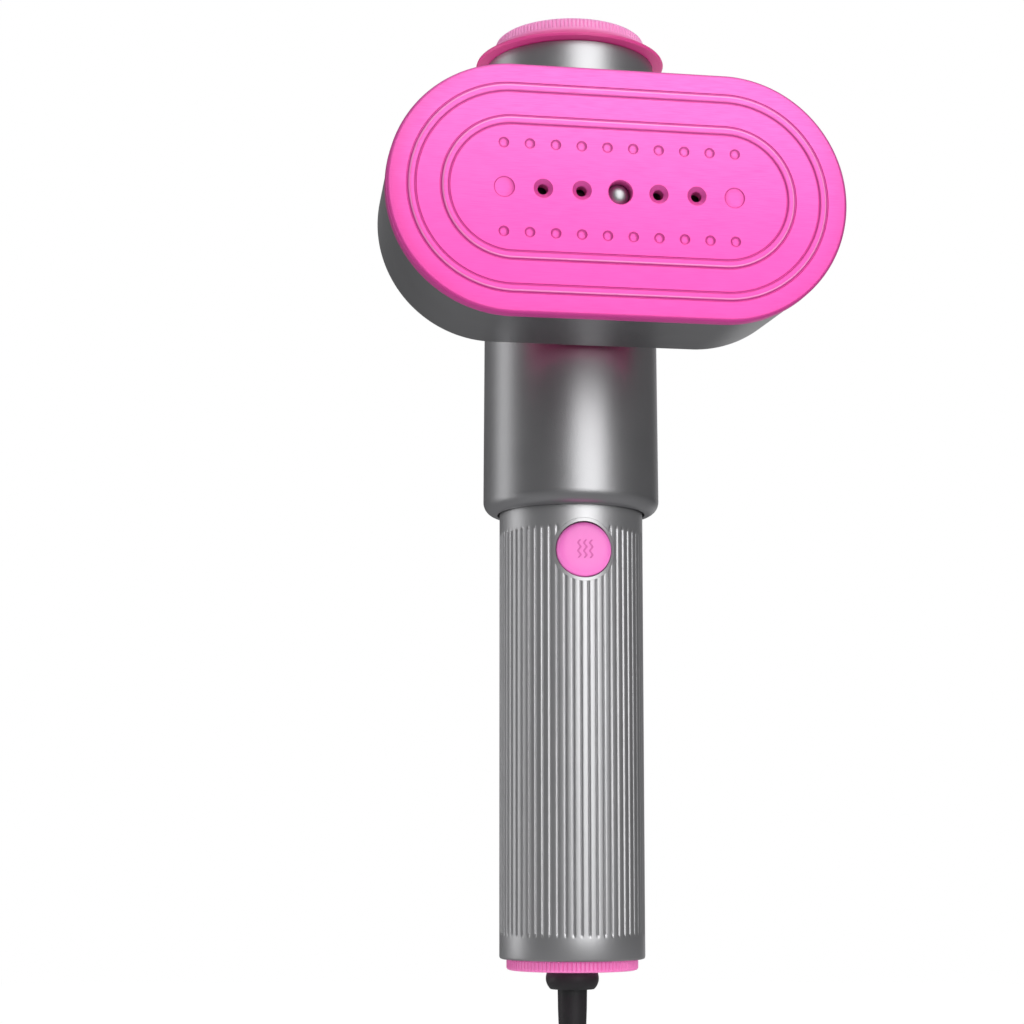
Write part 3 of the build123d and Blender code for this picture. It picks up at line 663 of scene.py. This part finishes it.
def oval_start(name, long, wide, near):
    """A flat face with the head's round-ended outline. It looks along -Y, near metres before the axis."""
    unselect()
    bpy.ops.mesh.primitive_circle_add(vertices=2 * CORNER_SIDES, radius=wide / 2, fill_type="NGON")
    piece = bpy.context.object
    piece.name = name
    piece.rotation_euler = (0, 0, math.pi / (2 * CORNER_SIDES))
    settle(piece)
    for way in (-1, 1):
        picked(piece, lambda co: co.x * way > 0)
        bpy.ops.transform.translate(value=(way * (long - wide) / 2, 0, 0))
        bpy.ops.object.mode_set(mode="OBJECT")
    piece.rotation_euler = (math.radians(90), 0, 0)
    piece.location = (0, -near, hub_z)
    settle(piece)
    return piece


def stepped(piece, steps, way=-1):
    """Draws the face in and forward by each (inset, rise) in turn. With way 1 it goes backward."""
    only(piece)
    bpy.ops.object.mode_set(mode="EDIT")
    bpy.ops.mesh.select_mode(type="FACE")
    bpy.ops.mesh.select_all(action="SELECT")
    for inset, rise in steps:
        if inset:
            bpy.ops.mesh.inset(thickness=inset, depth=0, use_even_offset=True)
            if rise:
                bpy.ops.transform.translate(value=(0, way * rise, 0))
        else:
            bpy.ops.mesh.extrude_region_move(TRANSFORM_OT_translate={"value": (0, way * rise, 0)})
    bpy.ops.object.mode_set(mode="OBJECT")


mm = 0.001
BEAD = [
    (0.20 * mm, -0.18 * mm), (0.15 * mm, 0.0), (0.20 * mm, 0.24 * mm), (0.30 * mm, 0.12 * mm),
    (0.45 * mm, 0.05 * mm), (0.40 * mm, 0.0), (0.45 * mm, -0.05 * mm), (0.30 * mm, -0.12 * mm),
    (0.20 * mm, -0.24 * mm), (0.15 * mm, 0.0), (0.20 * mm, 0.18 * mm),
]
soleplate = oval_start("soleplate_coated", PLATE_LONG, PLATE_WIDE, plate_back)
stepped(
    soleplate,
    [
        (0, PLATE_THICK - 0.8 * mm),
        (0.08 * mm, 0.30 * mm), (0.20 * mm, 0.25 * mm), (0.30 * mm, 0.17 * mm), (0.40 * mm, 0.08 * mm),
        (4.5 * mm, 0.0), *BEAD, (6.3 * mm, 0.0), *BEAD, (1.5 * mm, 0.0),
    ],
)
HOLE_PITCH = 10.9 * mm
DIMPLE_PITCH = 7.3 * mm
DIMPLE_ROW = 12.6 * mm
tools = []


def tool(outline, sides, x, rise):
    """A cutter for one hole, at x along the plate and a rise above its middle."""
    made = turned("tool", outline, sides, forward=hub_z + rise)
    made.location = (x, 0, 0)
    settle(made)
    tools.append(made)


face = plate_face
for i in (-2, -1, 1, 2):
    tool([(1.5 * mm, face - 6 * mm), (1.5 * mm, face - 0.9 * mm), (1.8 * mm, face - 0.65 * mm),
          (2.8 * mm, face + 0.02 * mm), (2.9 * mm, face + 1 * mm)], 48, i * HOLE_PITCH, 0)
tool([(3.3 * mm, face - 6 * mm), (3.3 * mm, face - 0.3 * mm), (3.6 * mm, face + 0.02 * mm),
      (3.7 * mm, face + 1 * mm)], 56, 0, 0)
for i in (-3, 3):
    tool([(1.2 * mm, face - 0.46 * mm), (2.1 * mm, face - 0.42 * mm), (2.7 * mm, face - 0.28 * mm),
          (3.0 * mm, face + 0.02 * mm), (3.1 * mm, face + 1 * mm)], 40, i * HOLE_PITCH, 0)
for i in range(10):
    for way in (-1, 1):
        dimple = [(0.5 * mm, face - 0.42 * mm), (0.95 * mm, face - 0.38 * mm), (1.3 * mm, face - 0.22 * mm),
                  (1.55 * mm, face + 0.02 * mm), (1.6 * mm, face + 1 * mm)]
        tool(dimple, 28, (i - 4.5) * DIMPLE_PITCH, way * DIMPLE_ROW)
cut(soleplate, joined(tools, "tools"))
pink_plate = Finish("pink_plate", Metallic=0.55)
x, y, z = pink_plate.axes()
brushed = pink_plate.grain(0.00022, 3.0, stretch=(24, 1, 1))
drift = pink_plate.grain(0.02, 3.0)
reach = (x.maths("ABSOLUTE") - (PLATE_LONG - PLATE_WIDE) / 2).maths("MAXIMUM", 0.0)
up = z - hub_z
inset = PLATE_WIDE / 2 - (reach * reach + up * up).maths("SQRT")
groove_painted_shade = glints = None
# Each bead ring gets a painted highlight line near its outer side and painted shade lines at its two grooves.
for start in (5.48 * mm, 14.78 * mm):
    off = (inset - (start + 0.9 * mm)).maths("ABSOLUTE")
    one = 1 - off.band(0.10 * mm, 0.30 * mm)
    glints = one if glints is None else glints + one
    for line in (start + 0.3 * mm, start + 2.7 * mm):
        off = (inset - line).maths("ABSOLUTE")
        one = 1 - off.band(0.16 * mm, 0.34 * mm)
        groove_painted_shade = one if groove_painted_shade is None else groove_painted_shade + one
rim = 1 - inset.band(0.0, 0.7 * mm)
# Painted light: the coat is mixed lighter towards the plate's top, as if lit from above, with a little random
# drift.
coat_and_painted_light = pink_plate.mix((0.80, 0.070, 0.38), (0.87, 0.155, 0.52), up.band(-0.030, 0.040) * 0.85 + drift * 0.15)
coat_and_painted_light = pink_plate.mix(coat_and_painted_light, (0.74, 0.05, 0.36), brushed.band(0.35, 0.75) * 0.35)
# Painted shade in the bead grooves, and darker along the outer 0.7 mm of the plate.
coat_and_painted_light = pink_plate.mix(coat_and_painted_light, (0.46, 0.03, 0.24), groove_painted_shade * 0.5 + rim * 0.5)
# Painted highlight: a light line along the crown of each bead.
coat_and_painted_light = pink_plate.mix(coat_and_painted_light, (1.0, 0.44, 0.76), glints * 0.5)
pink_plate.set(
    Base_Color=coat_and_painted_light, Roughness=brushed * 0.12 + 0.34, Normal=pink_plate.bump(brushed, 0.00002, 0.6)
)
hand_over(soleplate, pink_plate, "head", "pink_plate", "soleplate", angle=30)

# ---------------------------------------------------------------------------------------------
# Vent plug: a domed metal plug pressed into the soleplate's middle hole, well under the face. It has
# the same dull grey as the barrel.
outline = [
    (3.25 * mm, face - 5.0 * mm), (3.25 * mm, face - 3.6 * mm), (3.0 * mm, face - 3.0 * mm),
    (2.5 * mm, face - 2.5 * mm), (1.8 * mm, face - 2.05 * mm), (1.0 * mm, face - 1.8 * mm),
    (0.4 * mm, face - 1.72 * mm),
]
vent_plug = turned("vent_plug", outline, 56, forward=hub_z)
hand_over(vent_plug, grey_metal, "head", "steel", angle=50)

# ---------------------------------------------------------------------------------------------
# Head casing: a drawn aluminium shell, anodised the same grey, that widens towards the soleplate. Its back
# edge is turned over, and the finish makes a narrow band along it much lighter and glossier.
case_low, case_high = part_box("head_casing")
case_front, case_back = -case_low.y, -case_high.y
CASE_LONG = case_high.x - case_low.x
CASE_WIDE = case_high.z - case_low.z
CASE_WALL = 2.0 * mm
depth = case_front - case_back
casing = oval_start("head_casing_shell", CASE_LONG, CASE_WIDE, case_front)
stepped(
    casing,
    [
        (1.35 * mm, depth - 0.7 * mm), (0.08 * mm, 0.35 * mm), (0.25 * mm, 0.25 * mm), (0.40 * mm, 0.10 * mm),
        (CASE_WALL - 1.35 * mm, 0.0), (0.35 * mm, -0.20 * mm), (0.2 * mm, -0.50 * mm), (0, 0.6 * mm - depth),
    ],
    way=1,
)
# The shell's two end faces, its only faces with many corners, go, and its open edges are bridged.
only(casing)
bpy.ops.object.mode_set(mode="EDIT")
bpy.ops.mesh.select_mode(type="FACE")
bpy.ops.mesh.select_all(action="DESELECT")
bpy.ops.object.mode_set(mode="OBJECT")
for polygon in casing.data.polygons:
    polygon.select = len(polygon.vertices) > 8
bpy.ops.object.mode_set(mode="EDIT")
bpy.ops.mesh.delete(type="ONLY_FACE")
bpy.ops.mesh.select_mode(type="EDGE")
bpy.ops.mesh.select_all(action="DESELECT")
bpy.ops.mesh.select_non_manifold(extend=False)
bpy.ops.mesh.bridge_edge_loops()
bpy.ops.mesh.select_all(action="SELECT")
bpy.ops.mesh.normals_make_consistent(inside=False)
bpy.ops.object.mode_set(mode="OBJECT")
case_metal = Finish("case_metal", Metallic=1.0)
x, y, z = case_metal.axes()
edge = (y + case_back + 0.9 * mm).band(-0.2 * mm, 0.2 * mm)
fine = case_metal.grain(0.00035, 2.0)
drift = case_metal.grain(0.012, 4.0)
grey = case_metal.mix((0.38, 0.38, 0.39), (0.46, 0.46, 0.47), drift * 0.7 + fine * 0.3)
case_metal.set(
    Base_Color=case_metal.mix(grey, (0.85, 0.85, 0.86), edge),
    Roughness=fine * 0.06 + 0.35 - edge * 0.14,
    Normal=case_metal.bump(fine, 0.00002),
)
hand_over(casing, case_metal, "head", "grey_metal", "head_casing", angle=40)

# ---------------------------------------------------------------------------------------------
# Rear cover: moulded in magenta, with a rolled rim, six ridges and a flat middle. Four screws and a
# plate inside hold it to the hollow shaft, and a black disc covers the bearing.
cover_pink = worked(
    "cover_pink", (0.62, 0.025, 0.22), (0.70, 0.035, 0.27), 0.34, 0.08, 0.0005, 0.00001,
    Coat_Weight=0.2, Coat_Roughness=0.2,
)
finish_nodes(cover_pink, "rear_cover")
black_plastic = worked(
    "black_plastic", (0.012, 0.012, 0.013), (0.024, 0.024, 0.026), 0.42, 0.12, 0.0005, 0.00002,
    Specular_IOR_Level=0.45,
)
finish_nodes(black_plastic, "hub_disc")

# ---------------------------------------------------------------------------------------------
# End ring: a ribbed ring moulded in rose pink. It pushes into the liner, closes the grip's lower end
# and holds the lead's swivelling gland.
ring_low, ring_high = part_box("end_ring")
END_R = 0.01985
END_RIBS = 96
SPIGOT_R = 0.01755  # inside the liner
SPIGOT_BORE_R = 0.0135
GLAND_BORE_R = 0.00508
end_top = grip_low.z - 0.05 * mm
outline = [
    (GLAND_BORE_R, ring_low.z),
    (END_R - 0.9 * mm, ring_low.z),
    (END_R - 0.3 * mm, ring_low.z + 0.2 * mm),
    (END_R, ring_low.z + 0.7 * mm),
    (END_R, ring_low.z + 0.9 * mm),
    (END_R, end_top - 0.5 * mm),
    (END_R, end_top - 0.3 * mm),
    (END_R - 0.2 * mm, end_top),
    (SPIGOT_R, end_top),
    (SPIGOT_R, ring_high.z),
    (SPIGOT_BORE_R, ring_high.z),
    (SPIGOT_BORE_R, end_top),
    (GLAND_BORE_R, end_top),
    (GLAND_BORE_R, ring_low.z),
]
end_ring = turned("end_ring_ribbed", outline, END_RIBS * 4)
scaled_where(
    end_ring,
    lambda co: math.hypot(co.x, co.y) > END_R - 0.05 * mm and side_of(co, END_RIBS * 4) % 4 == 0,
    1 - 0.35 * mm / END_R,
)
pink_plastic = worked(
    "pink_plastic", (0.88, 0.17, 0.50), (0.92, 0.21, 0.56), 0.36, 0.08, 0.0005, 0.00001,
    Specular_IOR_Level=0.5, Coat_Weight=0.15, Coat_Roughness=0.25,
)
hand_over(end_ring, pink_plastic, "body", "pink_plastic", "end_ring", angle=40)

# ---------------------------------------------------------------------------------------------
# Mains lead: round black rubber-covered flex, 7 mm thick and 1.85 m long. It hangs from the gland,
# swings to the side of its coil, makes seven tied turns there and ends in a two-pin plug.
CORD_D = 0.007
CORD_R = CORD_D / 2
COIL_Z = -0.205
COIL_INNER_R = 0.0355
COIL_OUTER_R = COIL_INNER_R + CORD_D * math.cos(math.radians(30))
COIL_SIDE = COIL_OUTER_R + CORD_D
relief_low, relief_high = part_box("strain_relief")
plug_low, plug_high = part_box("plug_body")

# (turn's radius, place across the coil) of each of the seven turns, in the order they are wound
TURNS = (
    (COIL_OUTER_R, -CORD_D),
    (COIL_INNER_R, -1.5 * CORD_D),
    (COIL_INNER_R, -0.5 * CORD_D),
    (COIL_INNER_R, 0.5 * CORD_D),
    (COIL_INNER_R, 1.5 * CORD_D),
    (COIL_OUTER_R, CORD_D),
    (COIL_OUTER_R, 0.0),
)
POINTS_A_TURN = 16

route = [
    (0, 0, relief_high.z - 0.001),
    (0, 0, relief_low.z),
    (0, 0, -0.119),
    (-COIL_OUTER_R, -CORD_D, COIL_Z + 0.033),
]
for turn, (radius, across) in enumerate(TURNS):
    after = TURNS[turn + 1] if turn + 1 < len(TURNS) else (COIL_SIDE, 0.0)
    for step in range(POINTS_A_TURN):
        # Each turn crosses to the next one's place over its last quarter.
        share = min(max((step / POINTS_A_TURN - 0.75) / 0.25, 0.0), 1.0)
        share = share * share * (3 - 2 * share)
        r = radius + (after[0] - radius) * share
        angle = math.pi + 2 * math.pi * step / POINTS_A_TURN
        grown = r / math.cos(math.pi / POINTS_A_TURN)
        over = across + (after[1] - across) * share
        route.append((grown * math.cos(angle), over, COIL_Z + grown * math.sin(angle)))
plug_x = (plug_low.x + plug_high.x) / 2
route += [(plug_x, 0, COIL_Z), (plug_x, 0, plug_high.z), (plug_x, 0, plug_high.z - 0.008)]

line = bpy.data.curves.new("mains_lead", "CURVE")
line.dimensions = "3D"
spline = line.splines.new("NURBS")
spline.points.add(len(route) - 1)
for point, place in zip(spline.points, route):
    point.co = (*place, 1)
spline.order_u = 3
spline.use_endpoint_u = True
line.resolution_u = 6
line.bevel_depth = CORD_R
line.bevel_resolution = 6
line.use_fill_caps = True
mains_lead = bpy.data.objects.new("mains_lead", line)
scene.collection.objects.link(mains_lead)
cord_rubber = worked(
    "cord_rubber", (0.010, 0.010, 0.011), (0.022, 0.022, 0.024), 0.48, 0.14, 0.0006, 0.00004,
    Specular_IOR_Level=0.4,
)
line.materials.append(cord_rubber.material)
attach(mains_lead, "lead")
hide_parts("cord_run", "cord_coil", "cord_tail")

# ---------------------------------------------------------------------------------------------
# Gland and strain relief: a moulded collar that swivels in the end ring, and a soft tapered sleeve
# that keeps the lead from kinking below it.
relief_top_r, relief_end_r = 0.00445, 0.00385
outline = [
    (CORD_R + 0.00001, relief_high.z),
    (relief_top_r, relief_high.z),
    (relief_top_r - 0.0001, relief_high.z - 0.006),
    (relief_end_r, relief_low.z + 0.0006),
    (relief_end_r - 0.0001, relief_low.z + 0.0002),
    (relief_end_r - 0.0003, relief_low.z),
    (CORD_R + 0.00001, relief_low.z),
    (CORD_R + 0.00001, relief_high.z),
]
relief = turned("strain_relief_sleeve", outline, 64)
hand_over(relief, cord_rubber, "lead", "black_plastic", "strain_relief", angle=40)
finish_nodes(black_plastic, "cord_gland")

# ---------------------------------------------------------------------------------------------
# Coil strap: a woven hook-and-loop band, 12 mm wide, closed on itself round the seven turns. It keeps
# the spare length of the lead together.
strap_low, strap_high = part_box("cord_strap")
strap_mid = (strap_low + strap_high) / 2
STRAP_THICK = 0.0011
STRAP_ROUND = 0.0062  # radius of its corners
STRAP_GAP = 0.0002
unselect()
bpy.ops.mesh.primitive_circle_add(vertices=48, radius=1, fill_type="NOTHING")
strap = bpy.context.object
strap.name = "coil_strap"
strap.rotation_euler = (0, math.radians(90), 0)
settle(strap)
half_y = (strap_high.y - strap_low.y) / 2 - STRAP_THICK - STRAP_GAP
half_z = (strap_high.z - strap_low.z) / 2 - STRAP_THICK - STRAP_GAP
strap.scale = (1, STRAP_ROUND, STRAP_ROUND)
settle(strap)
for axis, room in ((1, half_y - STRAP_ROUND), (2, half_z - STRAP_ROUND)):
    for way in (-1, 1):
        picked(strap, lambda co: co[axis] * way > 1e-5)
        shift = [0, 0, 0]
        shift[axis] = way * room
        bpy.ops.transform.translate(value=shift)
        bpy.ops.object.mode_set(mode="OBJECT")
bpy.ops.object.mode_set(mode="EDIT")
bpy.ops.mesh.select_all(action="SELECT")
bpy.ops.transform.translate(value=(-(strap_high.x - strap_low.x) / 2, 0, 0))
for step in range(6):
    bpy.ops.mesh.extrude_region_move(
        TRANSFORM_OT_translate={"value": ((strap_high.x - strap_low.x) / 6, 0, 0)}
    )
bpy.ops.mesh.select_all(action="SELECT")
bpy.ops.mesh.normals_make_consistent(inside=False)
bpy.ops.object.mode_set(mode="OBJECT")
strap.location = strap_mid
settle(strap)
wall = strap.modifiers.new("wall", "SOLIDIFY")
wall.thickness, wall.offset = STRAP_THICK, 1.0
bpy.ops.object.modifier_apply(modifier="wall")
strap_fabric = Finish("strap_fabric", Sheen_Weight=0.3, Sheen_Roughness=0.5)
x, y, z = strap_fabric.axes()
warp = (x * 9000).maths("SINE")
weft = ((y + z) * 7000).maths("SINE")
weave = warp * weft
fuzz = strap_fabric.grain(0.0004, 3.0)
strap_fabric.set(
    Base_Color=strap_fabric.mix((0.012, 0.012, 0.013), (0.045, 0.045, 0.048), weave * 0.3 + fuzz * 0.6),
    Roughness=fuzz * 0.2 + 0.7,
    Normal=strap_fabric.bump(weave * 0.5 + fuzz, 0.00012),
)
hand_over(strap, strap_fabric, "lead", "strap_fabric", "cord_strap", angle=40)

# ---------------------------------------------------------------------------------------------
# Plug: a two-pin plug moulded in black onto the end of the lead, with nickel-plated brass pins.
finish_nodes(black_plastic, "plug_body")
pin_metal = worked(
    "pin_metal", (0.62, 0.60, 0.55), (0.72, 0.70, 0.66), 0.24, 0.08, 0.0004, 0.00001, Metallic=1.0
)
finish_nodes(pin_metal, "plug_pins")

# ---------------------------------------------------------------------------------------------
# Inside: the water tank, the pump and its hoses, the control board, the swivel's bearing and the
# steam chamber with its heater. None of it shows until a cover is off.
tank_plastic = worked(
    "tank_plastic", (0.62, 0.66, 0.68), (0.70, 0.73, 0.75), 0.30, 0.1, 0.001, 0.00002, Coat_Weight=0.2
)
finish_nodes(tank_plastic, "water_tank", "filler_neck")
engineering_plastic = worked(
    "engineering_plastic", (0.10, 0.10, 0.105), (0.14, 0.14, 0.145), 0.5, 0.12, 0.0006, 0.00003
)
finish_nodes(engineering_plastic, "grip_liner", "pump_bracket", "water_pump", "rotary_elbow", "hub_bush")
circuit_board = worked(
    "circuit_board", (0.015, 0.09, 0.04), (0.025, 0.14, 0.06), 0.42, 0.12, 0.0008, 0.00003
)
finish_nodes(circuit_board, "display_board", "control_board")
component = worked("component", (0.02, 0.02, 0.022), (0.05, 0.05, 0.053), 0.45, 0.12, 0.0004, 0.00002)
finish_nodes(component, "display_module", "button_switch", "capacitor", "relay", "triac")
finish_nodes(component, "terminal_block", "thermostat", "thermal_fuse")
silicone = worked("silicone", (0.62, 0.60, 0.56), (0.72, 0.70, 0.66), 0.5, 0.1, 0.0008, 0.00003)
finish_nodes(silicone, "suction_hose", "pressure_hose", "cap_seal", "plate_gasket")
cast_alloy = worked(
    "cast_alloy", (0.42, 0.42, 0.43), (0.55, 0.55, 0.56), 0.48, 0.16, 0.0007, 0.00012, Metallic=1.0
)
finish_nodes(cast_alloy, "steam_chamber", "heat_shield")
steel = worked("steel", (0.50, 0.50, 0.50), (0.62, 0.61, 0.60), 0.28, 0.1, 0.0003, 0.00001, Metallic=1.0)
finish_nodes(steel, "swivel_shaft", "shaft_clip", "hub_plate", "hub_screws")
finish_nodes(steel, "heating_element", "chamber_screws", "steam_pipe")

# ---------------------------------------------------------------------------------------------
# Room: a pale floor well below the hanging lead, a plain white surround and four soft boxes. The
# surround is darker in reflections than to the eye, so that the metal keeps its dark bands.
floor_z = cad_box[0][2] - 0.12
unselect()
bpy.ops.mesh.primitive_circle_add(vertices=96, radius=6, fill_type="NGON", location=(0, 0, floor_z))
floor = bpy.context.object
floor.name = "floor"
pale_floor = Finish("pale_floor", Base_Color=(0.9, 0.9, 0.9), Roughness=0.9, Emission_Color=(1.0, 1.0, 1.0))
pale_floor.set(Emission_Strength=0.74)
floor.data.materials.append(pale_floor.material)
floor.visible_glossy = False

world = bpy.data.worlds.new("surround")
scene.world = world
world.use_nodes = True
sky = Nodes(world.node_tree)
sky.tree.nodes.clear()
# How bright the surround is in reflections, from straight down (0) to straight up (1).
LEVELS = ((0.0, 0.34), (0.40, 0.20), (0.5, 0.12), (0.62, 0.14), (1.0, 0.42))
where = sky.node("ShaderNodeTexCoord", out="Generated")
height = sky.node("ShaderNodeSeparateXYZ", None, {"Vector": where}, out="Z")
rise = sky.node("ShaderNodeMapRange", None, {"Value": height, "From Min": -1.0})
stops = [(at, (level, level, level * 1.02)) for at, level in LEVELS]
shade = sky.node("ShaderNodeValToRGB", {"stops": stops}, {"Fac": rise})
dim = sky.node("ShaderNodeBackground", None, {"Color": shade})
plain = sky.node("ShaderNodeBackground", None, {"Color": (1, 1, 1)})
seen = sky.node("ShaderNodeLightPath", out="Is Camera Ray")
surround = sky.node("ShaderNodeMixShader", None, {0: seen, 1: dim, 2: plain})
sky.feed(sky.tree.nodes.new("ShaderNodeOutputWorld").inputs["Surface"], surround)
scene.view_settings.view_transform = "Standard"


def soft_box(name, side, rise, reach, wide, tall, level, aim=(0, 0, 0.07)):
    """An even rectangular lamp, side degrees round from -Y and rise degrees up, aimed at the object."""
    data = bpy.data.lights.new(name, "AREA")
    data.shape = "RECTANGLE"
    data.size, data.size_y = wide, tall
    data.energy = level * math.pi * wide * tall
    lamp = bpy.data.objects.new(name, data)
    side, rise = math.radians(side), math.radians(rise)
    away = Vector((math.sin(side) * math.cos(rise), -math.cos(side) * math.cos(rise), math.sin(rise)))
    lamp.location = Vector(aim) + reach * away
    lamp.rotation_euler = away.to_track_quat("Z", "Y").to_euler()
    scene.collection.objects.link(lamp)


soft_box("key_box", 14, 20, 1.1, 0.8, 1.2, 2.3)
soft_box("left_box", -108, 6, 1.2, 0.5, 1.3, 1.1)
soft_box("right_box", 150, 10, 1.4, 0.5, 1.3, 0.45)
soft_box("top_box", 20, 78, 1.4, 1.2, 1.2, 0.8)
